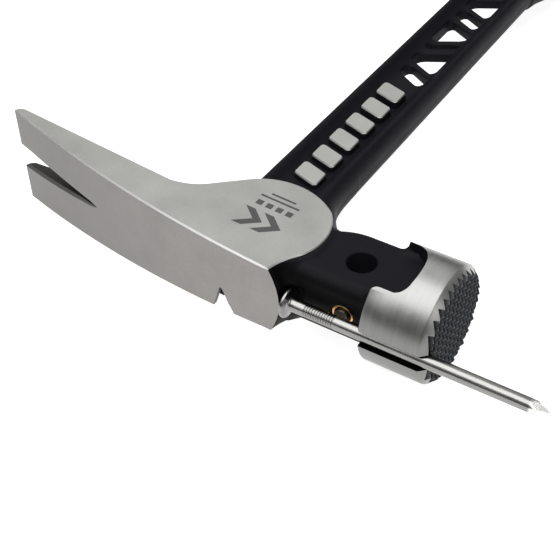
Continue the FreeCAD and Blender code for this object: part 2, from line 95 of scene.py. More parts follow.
# nail
NAIL_RADIUS = 2.1
NAIL_LENGTH = 82.5
POINT_START = 77.0
POINT_TIP_HALF = 0.2
POINT_TWIST = 15.0
RIB_FIRST = 6.8
RIB_COUNT = 12
RIB_PITCH = 0.84
RIB_DEPTH = 0.3

# shank and grip
SHANK_X = -5.6
SHANK_THICK = 7.5
SHANK_CORNER = 6.3
SHANK_START, SHANK_END = 8.0, 187.0
SHANK_HALF_HEAD, SHANK_HALF_GRIP = 13.45, 12.35
TROUGH_START, TROUGH_END = 22.6, 180.5
TROUGH_HALF = 6.0
TROUGH_FLOOR_HEAD, TROUGH_FLOOR_GRIP = 3.2, 1.9
TROUGH_SINK_START, TROUGH_SINK_END = 25.0, 115.0
PAD_FIRST, PAD_PITCH, PAD_COUNT = 34.6, 10.8, 6
PAD_HALF_X, PAD_HALF_Y, PAD_SLANT = 4.8, 3.6, 1.5
GRIP = [(183.5, 12.85, 8.1), (189.5, 13.5, 8.9), (203.0, 15.9, 12.1), (225.0, 16.7, 13.2),
        (262.0, 17.8, 14.3), (305.0, 16.3, 13.1), (335.0, 16.9, 13.7), (358.0, 19.6, 16.2)]
CAP = [(358.1, 19.6, 16.2), (365.5, 21.2, 18.3), (372.0, 20.4, 17.6), (376.0, 17.4, 14.6)]
INLAY_START, INLAY_END = 214.0, 326.0
INLAY_HALF, INLAY_TAPER, INLAY_CORNER = 7.6, 1.6, 4.5
INLAY_RIB_PITCH = 4.2
SECTION_ROUND = 0.8
EYELET_Y = 366.0

# studio
FLOOR_HALF = 12000
LAMPS = [
    ("overhead", (-0.05, -0.37, 0.93), (0.0, -0.12, 0.0), 1.0, 9.5),
    ("front", (-0.58, -1.02, 0.82), (0.0, -0.15, 0.0), 0.5, 1.35),
    ("side", (1.2, -0.5, 0.7), (0.0, -0.15, 0.0), 0.7, 3.0),
    ("back", (-0.55, 0.60, 0.98), (0.0, -0.15, 0.0), 1.3, 2.9),
]
CAMERA_PLACE = (0.155428, -0.402624, 0.258310)
CAMERA_TURN = (0.593, 0.744, -0.034)
CAMERA_FOCAL = 1186.0 / 560.0


# ---- materials

def shader_of(material):
    return material.node_tree.nodes["Principled BSDF"]


def node(material, kind, **settings):
    """A new node in the tree of a material or world."""
    made = material.node_tree.nodes.new(kind)
    for key, value in settings.items():
        setattr(made, key, value)
    return made


def link(material, source, target):
    material.node_tree.links.new(source, target)


def stretched_noise(material, scale, detail, roughness):
    """Noise over the object's own coordinates, in metres, with a scale for each axis."""
    place = node(material, "ShaderNodeTexCoord")
    mapping = node(material, "ShaderNodeMapping")
    mapping.inputs["Scale"].default_value = scale
    noise = node(material, "ShaderNodeTexNoise")
    noise.inputs["Scale"].default_value = 1.0
    noise.inputs["Detail"].default_value = detail
    noise.inputs["Roughness"].default_value = roughness
    link(material, place.outputs["Object"], mapping.inputs["Vector"])
    link(material, mapping.outputs["Vector"], noise.inputs["Vector"])
    return noise.outputs["Fac"]


def spread(material, source, low, high, start=0.3, end=0.7):
    """Map a 0-1 signal on to a range of numbers."""
    made = node(material, "ShaderNodeMapRange")
    for socket, value in (("From Min", start), ("From Max", end), ("To Min", low), ("To Max", high)):
        made.inputs[socket].default_value = value
    link(material, source, made.inputs["Value"])
    return made.outputs["Result"]


def tint(material, source, dark, light):
    """Map a 0-1 signal on to a range of colours."""
    made = node(material, "ShaderNodeValToRGB")
    for stop, position, colour in zip(made.color_ramp.elements, (0.3, 0.7), (dark, light)):
        stop.position = position
        stop.color = (*colour, 1)
    link(material, source, made.inputs["Fac"])
    return made.outputs["Color"]


def bump(material, source, distance):
    raised = node(material, "ShaderNodeBump")
    raised.inputs["Distance"].default_value = distance
    raised.inputs["Strength"].default_value = 1.0
    link(material, source, raised.inputs["Height"])
    return raised.outputs["Normal"]


def surface(name, colour, metallic, roughness, grain, depth, shade=0.08, rough_swing=0.06,
            blotch=(90, 90, 90), **sockets):
    """A principled material with a fine grain in bump, colour and roughness, and slow blotches over it."""
    material = bpy.data.materials.new(name)
    material.use_nodes = True
    shader = shader_of(material)
    shader.inputs["Base Color"].default_value = (*colour, 1)
    shader.inputs["Metallic"].default_value = metallic
    shader.inputs["Roughness"].default_value = roughness
    for socket, value in sockets.items():
        shader.inputs[socket.replace("_", " ")].default_value = value
    fine = stretched_noise(material, grain, 4.0, 0.6)
    slow = stretched_noise(material, blotch, 2.0, 0.5)
    both = node(material, "ShaderNodeMath", operation="ADD")
    halved = node(material, "ShaderNodeMath", operation="MULTIPLY")
    halved.inputs[1].default_value = 0.5
    link(material, fine, both.inputs[0])
    link(material, slow, both.inputs[1])
    link(material, both.outputs[0], halved.inputs[0])
    dark = tuple(c * (1 - shade) for c in colour)
    light = tuple(min(1.0, c * (1 + shade)) for c in colour)
    link(material, tint(material, halved.outputs[0], dark, light), shader.inputs["Base Color"])
    swing = spread(material, halved.outputs[0], roughness - rough_swing, roughness + rough_swing)
    link(material, swing, shader.inputs["Roughness"])
    link(material, bump(material, fine, depth), shader.inputs["Normal"])
    return material


def paint_light_along(material, axis, start, end, low, high):
    """Paint light and shade: multiply the base colour by a factor that changes along one axis of the working
    frame.
    """
    shader = shader_of(material)
    source = shader.inputs["Base Color"].links[0].from_socket
    place = node(material, "ShaderNodeTexCoord")
    split = node(material, "ShaderNodeSeparateXYZ")
    scale = node(material, "ShaderNodeVectorMath", operation="SCALE")
    link(material, place.outputs["Object"], split.inputs["Vector"])
    ends = [value * MM + ZERO["XYZ".index(axis)] for value in (start, end)]  # in the object's own metres
    factor = spread(material, split.outputs[axis], low, high, *ends)
    link(material, source, scale.inputs[0])
    link(material, factor, scale.inputs["Scale"])
    link(material, scale.outputs["Vector"], shader.inputs["Base Color"])


GROUND = surface("ground_steel", (0.44, 0.44, 0.42), 1.0, 0.44, (1500, 2600, 2600), 14e-6, shade=0.13)
# a darker copy of the ground steel for the claw's sides and outer face: painted shade
SHADED_GROUND_SIDE = surface("ground_steel_side", (0.214, 0.206, 0.198), 1.0, 0.46, (700, 3000, 3000), 14e-6,
                      shade=0.15)
# a lighter copy of the ground steel for the broken edges: painted highlight
PAINTED_HIGHLIGHT_EDGE = surface("painted_highlight_edge", (0.54, 0.535, 0.52), 1.0, 0.36, (600, 3000, 3000), 8e-6, shade=0.03)
# near-black steel on the walls of the notch and puller cuts: painted shade in these cuts
SHADED_NOTCH_WALL = surface("notch_wall", (0.075, 0.074, 0.072), 1.0, 0.5, (500, 900, 2800), 20e-6)
BRUSHED = surface("brushed_steel", (0.28, 0.281, 0.274), 1.0, 0.36, (5200, 160, 160), 10e-6, shade=0.10,
                  rough_swing=0.05, blotch=(900, 60, 60))
COAT = surface("black_coat", (0.0072, 0.0069, 0.0092), 0.0, 0.50, (1900, 1900, 1900), 30e-6, shade=0.14,
               rough_swing=0.07, Specular_IOR_Level=0.07)
# a near-black copy of steel for the milled face: painted shade over the whole face
SHADED_MILLED = surface("milled_steel", (0.054, 0.060, 0.068), 0.6, 0.46, (1200, 2600, 2600), 30e-6, shade=0.2)
# axis, start, end and the factors there, all painted light and shade: painted shade in the tooth roots, claw
# sides painted darker toward the tips and lighter toward the cheek, the bell painted lighter toward its +Y
# half and darker on its -Y side, painted shade in the throat at the outer face, a painted highlight along
# the claw edge toward the tips and a painted highlight on the nail point
paint_light_along(SHADED_MILLED, "X", FACE_X - 0.85, FACE_X - 0.05, 0.04, 1.1)
paint_light_along(SHADED_GROUND_SIDE, "X", -80.0, 0.0, 0.92, 1.18)
paint_light_along(BRUSHED, "Y", -4.5, 0.0, 1.0, 1.5)
paint_light_along(BRUSHED, "Y", -16.0, -13.3, 0.76, 1.0)
paint_light_along(COAT, "Y", -12.5, -9.0, 0.12, 1.1)
paint_light_along(PAINTED_HIGHLIGHT_EDGE, "X", -95.0, -35.0, 1.8, 1.05)
PAD_FACE = surface("pad_face", (0.52, 0.52, 0.50), 1.0, 0.45, (2600, 1500, 2600), 12e-6)
MARK = surface("etched_mark", (0.075, 0.075, 0.073), 0.35, 0.55, (2600, 2600, 2600), 20e-6, shade=0.15)
BRASS = surface("brass_rim", (0.72, 0.43, 0.19), 1.0, 0.38, (1400, 3600, 1400), 12e-6, shade=0.18)
MAGNET = surface("magnet_plate", (0.060, 0.050, 0.042), 1.0, 0.34, (900, 900, 900), 10e-6, shade=0.08)
NAIL = surface("bright_nail", (0.255, 0.252, 0.245), 1.0, 0.22, (240, 4200, 4200), 16e-6, shade=0.08,
               rough_swing=0.05)
# painted highlight: the nail's point made up to 3.6 times lighter
paint_light_along(NAIL, "X", NAIL_START + POINT_START - 0.2, NAIL_START + POINT_START + 0.8, 1.0, 3.6)
RUBBER = surface("soft_rubber", (0.013, 0.013, 0.015), 0.0, 0.72, (2400, 2400, 2400), 60e-6, shade=0.18,
                 Specular_IOR_Level=0.20)
INLAY_RUBBER = surface("inlay_rubber", (0.060, 0.061, 0.066), 0.0, 0.66, (2400, 2400, 2400), 50e-6,
                       shade=0.15, Specular_IOR_Level=0.35)
CAP_PLASTIC = surface("cap_plastic", (0.020, 0.020, 0.022), 0.0, 0.48, (1500, 1500, 1500), 40e-6,
                      shade=0.12)
EYELET = surface("eyelet_steel", (0.55, 0.55, 0.54), 1.0, 0.28, (3000, 3000, 300), 10e-6)
HARD_CORE = surface("hard_core", (0.03, 0.03, 0.032), 0.0, 0.5, (1200, 1200, 1200), 30e-6)


# ---- mesh helpers

def new_object(name, data):
    item = bpy.data.objects.new(name, data)
    bpy.context.scene.collection.objects.link(item)
    return item


def mesh_from(name, points, faces, materials, picks=None):
    """A mesh from points in working millimetres, left at the row frame's origin."""
    mesh = bpy.data.meshes.new(name)
    placed = np.asarray(points, float) * MM + ZERO
    mesh.from_pydata(placed.tolist(), [], [list(map(int, face)) for face in faces])
    for material in materials:
        mesh.materials.append(material)
    if picks is not None:
        mesh.polygons.foreach_set("material_index", np.asarray(picks, np.int32))
    mesh.validate()
    mesh.update()
    return new_object(name, mesh)


def closed_mesh(name, points, faces, materials, picks=None):
    """A mesh that bounds a solid, with every face turned outward."""
    item = mesh_from(name, points, faces, materials, picks)
    work = bmesh.new()
    work.from_mesh(item.data)
    bmesh.ops.recalc_face_normals(work, faces=work.faces)
    work.to_mesh(item.data)
    work.free()
    return item


def ready(item, body, nodes, crease=35.0):
    """Last steps for a piece: shading, its body and the nodes that it stands for."""
    item.data.shade_smooth()
    if crease:
        item.data.set_sharp_from_angle(angle=math.radians(crease))
    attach(item, body)
    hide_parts(*nodes)
    return item


def bake_modifiers(item):
    """Replace the mesh by what its modifiers make of it."""
    graph = bpy.context.evaluated_depsgraph_get()
    graph.update()
    made = bpy.data.meshes.new_from_object(item.evaluated_get(graph), preserve_all_data_layers=True,
                                           depsgraph=graph)
    item.modifiers.clear()
    old = item.data
    item.data = made
    bpy.data.meshes.remove(old)


def combine(item, tool, operation="DIFFERENCE"):
    """Boolean with a tool object, whose own materials mark the faces that it makes."""
    step = item.modifiers.new("cut", "BOOLEAN")
    step.object = tool
    step.operation = operation
    step.solver = "EXACT"
    step.material_mode = "TRANSFER"
    bake_modifiers(item)
    bpy.data.objects.remove(tool)


def bridge(ring_count, ring_size):
    """Quads between successive rings of points."""
    faces = []
    for ring in range(ring_count - 1):
        for i in range(ring_size):
            j = (i + 1) % ring_size
            a = ring * ring_size
            b = a + ring_size
            faces.append((a + i, a + j, b + j, b + i))
    return faces


def end_caps(ring_count, ring_size):
    """The two faces that close the first and the last ring."""
    last = (ring_count - 1) * ring_size
    return [tuple(range(ring_size)), tuple(range(last + ring_size - 1, last - 1, -1))]


def circle_angles(count):
    """Equal steps round a circle, from 0."""
    return np.linspace(0, 2 * math.pi, count, endpoint=False)


def grid_cells(rows, columns):
    """The first corner of every cell in a grid of points."""
    return [i * columns + j for i in range(rows - 1) for j in range(columns - 1)]


def grid_rim(rows, columns):
    """Indices round the border of a grid of points, in order."""
    last = (rows - 1) * columns
    rim = list(range(columns)) + [i * columns + columns - 1 for i in range(1, rows)]
    rim += [last + j for j in range(columns - 2, -1, -1)]
    return rim + [i * columns for i in range(rows - 2, 0, -1)]


def turned(axis, centre, profile, picks, segments):
    """Points, faces and material picks of (along, radius) pairs turned round an axis through centre."""
    u, v = (axis + 1) % 3, (axis + 2) % 3
    points = []
    for along, radius in profile:
        for angle in circle_angles(segments):
            point = [along, along, along]
            point[u] = centre[u] + radius * math.cos(angle)
            point[v] = centre[v] + radius * math.sin(angle)
            points.append(point)
    faces = [(a, d, c, b) for a, b, c, d in bridge(len(profile), segments)]
    marks = [pick for pick in picks or [0] * (len(profile) - 1) for _ in range(segments)]
    return points, faces, marks


def closed_turned(name, axis, centre, profile, materials, picks=None, segments=72):
    """A lathe piece whose two ends are closed by flat discs."""
    points, faces, marks = turned(axis, centre, profile, picks, segments)
    faces += end_caps(len(profile), segments)
    marks += [marks[0], marks[-1]]
    return closed_mesh(name, points, faces, materials, marks)


def tube(name, axis, centre, profile, materials, segments=72):
    """A lathe piece whose profile is a closed loop, such as a ring or sleeve."""
    points, faces, marks = turned(axis, centre, profile + [profile[0]], None, segments)
    count = len(profile) * segments
    faces = [tuple(i % count for i in face) for face in faces]
    return closed_mesh(name, points[:count], faces, materials, marks)


def prism(name, outline, low, high, materials, axis=2):
    """A closed prism over an outline; the outline's two numbers are the other two axes in order."""
    count = len(outline)
    points = [(*pair[:axis], level, *pair[axis:]) for level in (low, high) for pair in outline]
    faces = [tuple(range(count)), tuple(range(2 * count - 1, count - 1, -1))]
    faces += [(i, (i + 1) % count, count + (i + 1) % count, count + i) for i in range(count)]
    return closed_mesh(name, points, faces, materials)


def arc_points(start, middle, end, count):
    """Points on the arc from start through middle to end, without its last point."""
    centre = circle_centre(start, middle, end)
    radius = math.hypot(start[0] - centre[0], start[1] - centre[1])
    first, half, last = [math.atan2(p[1] - centre[1], p[0] - centre[0]) for p in (start, middle, end)]
    turn = (last - first) % (2 * math.pi)
    if (half - first) % (2 * math.pi) > turn:
        turn -= 2 * math.pi
    steps = [first + turn * i / count for i in range(count)]
    return [(centre[0] + radius * math.cos(a), centre[1] + radius * math.sin(a)) for a in steps]


def arcs(start, *legs):
    """A chain of arcs from start, each by its middle, end and number of steps, without its last point."""
    points = []
    for middle, end, count in legs:
        points += arc_points(start, middle, end, count)
        start = end
    return points


def circle_centre(a, b, c):
    d = 2 * (a[0] * (b[1] - c[1]) + b[0] * (c[1] - a[1]) + c[0] * (a[1] - b[1]))
    sa, sb, sc = [p[0] ** 2 + p[1] ** 2 for p in (a, b, c)]
    x = (sa * (b[1] - c[1]) + sb * (c[1] - a[1]) + sc * (a[1] - b[1])) / d
    y = (sa * (c[0] - b[0]) + sb * (a[0] - c[0]) + sc * (b[0] - a[0])) / d
    return x, y


def line_points(start, end, count):
    """Points on a straight line, without its last point."""
    return [(start[0] + (end[0] - start[0]) * i / count, start[1] + (end[1] - start[1]) * i / count)
            for i in range(count)]


def rounded(corners, radius, steps=6):
    """A polygon with every corner rounded by the same radius."""
    outline = []
    count = len(corners)
    for i, corner in enumerate(corners):
        corner = Vector(corner)
        before = (Vector(corners[i - 1]) - corner).normalized()
        after = (Vector(corners[(i + 1) % count]) - corner).normalized()
        half = before.angle(after) / 2
        reach = radius / math.tan(half)
        middle = corner + (before + after).normalized() * (radius / math.sin(half) - radius)
        start = corner + before * reach
        end = corner + after * reach
        outline += arc_points(tuple(start), tuple(middle), tuple(end), steps) + [tuple(end)]
    return outline


# ---- soft solids

def soft_min(a, b, blend):
    mix = np.clip(0.5 + 0.5 * (b - a) / blend, 0, 1)
    return b + (a - b) * mix - blend * mix * (1 - mix)


def soft_max(a, b, blend):
    return -soft_min(-a, -b, blend)


def ramp(at, start, end, first, last):
    """A value that runs straight from first to last between two places, and is flat outside them."""
    return first + (last - first) * np.clip((at - start) / (end - start), 0, 1)


def rounded_bar(u, v, half_u, half_v, radius):
    """Distance to a long bar with a rounded-rectangle section."""
    du = np.abs(u) - (half_u - radius)
    dv = np.abs(v) - (half_v - radius)
    return np.hypot(np.maximum(du, 0), np.maximum(dv, 0)) + np.minimum(np.maximum(du, dv), 0) - radius


def rolled_edge(plan, over, radius):
    """Distance to a plate whose edge rolls over, from its distance in plan and its height over the top."""
    side = plan + radius
    up = over + radius
    return np.hypot(np.maximum(side, 0), np.maximum(up, 0)) + np.minimum(np.maximum(side, up), 0) - radius


def convex_window(x, y, corners, radius):
    """Distance to a convex polygon whose corners are rounded."""
    points = np.array(corners)
    edges = np.roll(points, -1, axis=0) - points
    lengths = np.hypot(edges[:, 0], edges[:, 1])[:, None]
    turn = np.sign(edges[0, 0] * edges[1, 1] - edges[0, 1] * edges[1, 0])
    outs = np.stack([edges[:, 1], -edges[:, 0]], 1) / lengths * turn
    before = np.roll(outs, 1, axis=0)
    share = radius / (1 + (outs * before).sum(1))[:, None]
    small = points - (outs + before) * share
    sides, gaps = [], []
    for i in range(len(points)):
        start, along = small[i], small[(i + 1) % len(points)] - small[i]
        reach = np.clip(((x - start[0]) * along[0] + (y - start[1]) * along[1]) / (along @ along), 0, 1)
        sides.append((x - start[0]) * outs[i, 0] + (y - start[1]) * outs[i, 1])
        gaps.append(np.hypot(x - start[0] - reach * along[0], y - start[1] - reach * along[1]))
    field = np.maximum.reduce(sides)
    return np.where(field > 0, np.minimum.reduce(gaps), field) - radius


def crossed_cells(inside):
    """Grid cells that hold both inside and outside corners, and a grid of their numbers."""
    size = [count - 1 for count in inside.shape]
    corners = sum(inside[i:i + size[0], j:j + size[1], k:k + size[2]].astype(np.int8)
                  for i in (0, 1) for j in (0, 1) for k in (0, 1))
    cells = np.argwhere((corners > 0) & (corners < 8))
    number = np.full(corners.shape, -1, np.int64)
    number[tuple(cells.T)] = np.arange(len(cells))
    return cells, number


def cell_points(values, cells):
    """The mean of the places where each cell's twelve edges cross zero, in grid steps."""
    total = np.zeros((len(cells), 3))
    hits = np.zeros(len(cells))
    for axis in range(3):
        others = [n for n in range(3) if n != axis]
        for i, j in ((0, 0), (0, 1), (1, 0), (1, 1)):
            start = cells.copy()
            start[:, others[0]] += i
            start[:, others[1]] += j
            stop = start.copy()
            stop[:, axis] += 1
            a = values[tuple(start.T)].astype(float)
            b = values[tuple(stop.T)].astype(float)
            crossed = (a < 0) != (b < 0)
            point = start.astype(float)
            point[:, axis] += np.where(crossed, a / np.where(crossed, a - b, 1), 0)
            total += point * crossed[:, None]
            hits += crossed
    return total / hits[:, None]


def net_quads(inside, number, axis):
    """A quad round every grid edge along one axis that crosses the surface."""
    u, v = (axis + 1) % 3, (axis + 2) % 3
    near = [slice(None)] * 3
    far = [slice(None)] * 3
    near[axis] = slice(0, -1)
    far[axis] = slice(1, None)
    first, second = inside[tuple(near)], inside[tuple(far)]
    edges = np.argwhere(first != second)
    edges = edges[(edges[:, u] > 0) & (edges[:, v] > 0)
                  & (edges[:, u] < inside.shape[u] - 1) & (edges[:, v] < inside.shape[v] - 1)]
    quads = []
    for du, dv in ((-1, -1), (0, -1), (0, 0), (-1, 0)):
        cell = edges.copy()
        cell[:, u] += du
        cell[:, v] += dv
        quads.append(number[tuple(cell.T)])
    quads = np.stack(quads, 1)
    solid_first = first[tuple(edges.T)]
    quads[~solid_first] = quads[~solid_first][:, ::-1]
    return quads


def settle(field, points, step, passes=3, nudge=0.02):
    """Move points down the field's slope on to its zero surface, a limited way at a time."""
    for _ in range(passes):
        slope = np.zeros_like(points)
        for axis in range(3):
            shift = np.zeros(3)
            shift[axis] = nudge
            rise = field(*(points + shift).T) - field(*(points - shift).T)
            slope[:, axis] = rise / (2 * nudge)
        length = np.maximum((slope ** 2).sum(1), 0.2)
        move = -slope * (field(*points.T) / length)[:, None]
        reach = np.maximum(np.linalg.norm(move, axis=1), 1e-9)
        points = points + move * np.minimum(1, 0.35 * step / reach)[:, None]
    return points


def surface_net(field, low, high, step):
    """A closed quad mesh of field = 0 on a regular grid, each vertex then moved on to the true surface."""
    axes = [np.arange(a, b + step, step) for a, b in zip(low, high)]
    x, y, z = np.ix_(*axes)
    values = (field(x, y, z) + 0 * (x + y + z)).astype(np.float32)
    inside = values < 0
    cells, number = crossed_cells(inside)
    points = np.array(low) + cell_points(values, cells) * step
    faces = np.concatenate([net_quads(inside, number, axis) for axis in range(3)])
    return settle(field, points, step), faces


# ---- the forging: coated part

def cheek_top(x):
    """Height of the ground cheek plane, which rises toward the claw tips."""
    return CHEEK_HALF + FLARE * (CORNER_X - x)


def throat_edge(y, z):
    """Where the dished throat beside the neck begins, for a place on the outer face."""
    t = y - OUTER_Y
    return CORNER_X + 0.1562 * t + 0.02914 * t * t + THROAT_BULGE * (1 - (z / CHEEK_HALF) ** 2)


CROTCH = [(20.5, 12.4), (11.6, 22.0), (6.3, 38.0)]
CROTCH_CENTRE = circle_centre(*CROTCH)
CROTCH_RADIUS = math.hypot(CROTCH[0][0] - CROTCH_CENTRE[0], CROTCH[0][1] - CROTCH_CENTRE[1])

WINDOW_FIRST = 106.2
WINDOW_PERIOD = 45.4
WINDOWS = [
    ([(-5.6, 7.0), (5.7, 0.5), (5.7, -6.5), (-5.6, 0.1)], 1.9, 2),
    ([(-6.0, 10.0), (-6.0, 14.0), (6.1, 20.6), (6.1, 3.4)], 1.5, 2),
    ([(-5.6, 18.6), (5.6, 24.6), (5.6, 28.0), (-5.6, 22.0)], 1.2, 1),
    ([(-6.2, 24.6), (-6.2, 42.3), (6.0, 35.6), (6.0, 31.5)], 1.5, 1),
]


def shank_half(y):
    return ramp(y, SHANK_START, SHANK_END, SHANK_HALF_HEAD, SHANK_HALF_GRIP)


def under_cheek(x, high):
    """The plane that keeps the coat a little below the ground cheek."""
    return high - cheek_top(x) + COAT_DROP


def coated_block(x, y, z):
    """Cheek walls and dished throat."""
    cheek = np.maximum(np.hypot(x - CHEEK_CENTRE_X, y) - CHEEK_RADIUS - 0.04, -12.0 - y)
    throat = np.maximum((x - throat_edge(np.minimum(y, -6.0), z)) * 0.9 - 0.04, OUTER_Y + 0.55 - y)
    throat = np.maximum(throat, np.maximum(y - 4.0, 8.0 - x))
    block = np.maximum(soft_min(cheek, throat, 0.8), under_cheek(x, np.abs(z)))
    return np.maximum(block, -24.0 - x)


def coated_neck(x, y, z):
    """The neck, whose edges get rounder toward the crotch on the shank's side."""
    near_crotch = np.clip((30.0 - x) / 10.0, 0, 1)
    corner = np.where(y < 0, 4.8, 2.4 + 4.1 * near_crotch ** 2)
    neck = rounded_bar(y, z, NECK_HALF_Y, NECK_HALF_Z, corner)
    return np.maximum(neck, np.maximum(x - 56.0, 2.0 - x))


def coated_shank(x, y, z):
    """Shank and crotch fillet: one outline in plan, rolled over at both broad sides."""
    bar = np.abs(x - SHANK_X) - shank_half(y)
    fillet = CROTCH_RADIUS - np.hypot(x - CROTCH_CENTRE[0], y - CROTCH_CENTRE[1])
    fillet = np.maximum(fillet, np.maximum(x - 22.0, np.maximum(-2.0 - x, y - 42.0)))
    shank = rolled_edge(soft_min(bar, fillet, 2.5), np.abs(z) - SHANK_THICK, SHANK_CORNER)
    return np.maximum(shank, np.maximum(y - SHANK_END + 1.0, -4.0 - y))


def bell_back(x, y, z):
    """The coated ring behind the bell, open where the side recesses run out."""
    rear = np.maximum(np.hypot(y, z) - BELL_RADIUS + 0.35, np.maximum(BELL_START - 0.1 - x, x - 46.0))
    mouth = np.maximum(np.abs(y) - RECESS_HALF - 0.6, NECK_HALF_Z - 3.5 - np.abs(z))
    return soft_max(rear, -mouth, 1.2)


def trough(x, y, z):
    """The long hollow with sloping walls in each broad side of the shank."""
    floor = ramp(y, TROUGH_SINK_START, TROUGH_SINK_END, TROUGH_FLOOR_HEAD, TROUGH_FLOOR_GRIP)
    high = np.abs(z)
    walls = (np.abs(x - SHANK_X) - TROUGH_HALF - 0.95 * (high - floor)) / 1.35
    hollow = soft_max(walls, floor - high, 2.4)
    return soft_max(hollow, np.maximum(TROUGH_START - y, y - TROUGH_END), 3.0)


def coated_field(x, y, z):
    """Distance field of the black-coated forging: cheek walls, throat, neck, bell's back and shank."""
    body = soft_min(coated_block(x, y, z), coated_neck(x, y, z), 3.0)
    body = soft_min(body, coated_shank(x, y, z), 3.5)
    body = soft_min(body, bell_back(x, y, z), 3.2)
    body = np.where(x < 36.0, np.maximum(body, under_cheek(x, np.abs(z))), body)
    body = soft_max(body, -trough(x, y, z), 2.0)
    for corners, radius, repeats in WINDOWS:
        for n in range(repeats):
            shift = WINDOW_FIRST + n * WINDOW_PERIOD
            placed = [(SHANK_X + u, shift + v) for u, v in corners]
            body = soft_max(body, -convex_window(x, y, placed, radius), 0.7)

    hole = np.hypot(x - HOLE_X, y) - HOLE_RADIUS
    magnet_seat = np.maximum(np.hypot(x - MAGNET_X, z) - MAGNET_SEAT_RADIUS, y + 6.8)
    head_seat = np.maximum(np.hypot(y - NAIL_AXIS_Y, z) - HEAD_SEAT_RADIUS,
                           np.maximum(HEAD_SEAT_START - x, x - HEAD_SEAT_END))
    slot = np.maximum(np.maximum(np.abs(z) - SLOT_HALF, y - SLOT_FLOOR), 30.0 - x)
    for hollow, blend in ((hole, 0.5), (magnet_seat, 0.4), (head_seat, 0.5), (slot, 0.4)):
        body = soft_max(body, -hollow, blend)
    return body


def coated_forging():
    step = 0.5
    # the grid starts off round numbers, so that no flat wall lies exactly in one of its planes
    points, faces = surface_net(coated_field, (-26.13, -19.67, -14.87), (58.0, 188.0, 14.8), step)
    item = mesh_from("coated_forging", points, faces, [COAT])
    return ready(item, "hammer", ["forged_body"], crease=0)


# ---- the forging: ground claw and cheek

FLAT, SIDE, COATED, EDGE = range(4)  # material slots of the ground head


def claw_outline():
    """Plan of claw and cheek, and the material slot of the wall at each point."""
    outer = arc_points((-CLAW_REACH, -0.75), (-50.0, -11.95), (CORNER_X, OUTER_Y), 44)
    throat = [(throat_edge(y, CHEEK_HALF), y) for y in np.linspace(OUTER_Y, -7.9, 9)]
    disc = arcs((17.25, -7.8), ((19.75, 2.0), (15.2, 13.4), 22), ((1.0, 18.65), (-13.5, 13.5), 26))
    inner = line_points((-13.5, 13.5), (-22.5, 5.0), 8)
    inner += arc_points((-22.5, 5.0), (-27.4, 1.2), (-34.0, -0.8), 10)
    back = line_points((-34.0, -0.8), (-94.3, 1.6), 22)
    tip = arc_points((-94.3, 1.6), (-97.0, 1.0), (-CLAW_REACH, -0.75), 5)
    kinds = [SIDE] * len(outer) + [COATED] * (len(throat) + len(disc) + len(inner))
    kinds += [SIDE] * (len(back) + len(tip))
    return outer + throat + disc + inner + back + tip, kinds


def inset(outline, distance):
    """Move an outline inward by a distance, with mitred corners."""
    points = np.array(outline)
    before = points - np.roll(points, 1, axis=0)
    after = np.roll(points, -1, axis=0) - points
    normals = []
    for edge in (before, after):
        edge = edge / np.maximum(np.linalg.norm(edge, axis=1), 1e-9)[:, None]
        normals.append(np.stack([-edge[:, 1], edge[:, 0]], 1))
    middle = normals[0] + normals[1]
    middle /= np.maximum((middle ** 2).sum(1) / 2, 0.6)[:, None]
    return points + middle * np.reshape(distance, (-1, 1))


def ground_blank():
    """Claw and cheek before any cut: plan outlines stacked through the thickness, with broken edges."""
    outline, kinds = claw_outline()
    count = len(outline)
    outer = np.array(outline)
    chamfer = np.array([0.5 if kind == SIDE else 0.3 for kind in kinds])
    inner = inset(outline, chamfer)
    in_throat = np.clip((-4.0 - outer[:, 1]) / 6.0, 0, 1) * np.clip((outer[:, 0] - 4.0) / 8.0, 0, 1)
    rings = []
    stack = [(outer, level, 1.0) for level in np.linspace(-1, 1, 9)]
    stack = [(inner, -1.0, 0.0)] + stack + [(inner, 1.0, 0.0)]
    for plan, level, drop in stack:
        top = cheek_top(plan[:, 0])
        reach = top - chamfer * drop
        z = level * reach
        bulge = THROAT_BULGE * (1 - (z / top) ** 2) * in_throat
        rings.append(np.stack([plan[:, 0] + bulge, plan[:, 1], z], 1))
    points = np.concatenate(rings)
    faces = bridge(len(rings), count)
    edges = [EDGE if kind == SIDE else FLAT for kind in kinds]
    picks = edges + kinds * (len(rings) - 3) + edges + [FLAT, FLAT]
    faces += [cap[::-1] for cap in end_caps(len(rings), count)]
    return closed_mesh("ground_head", points, faces, [GROUND, SHADED_GROUND_SIDE, COAT, PAINTED_HIGHLIGHT_EDGE], picks)


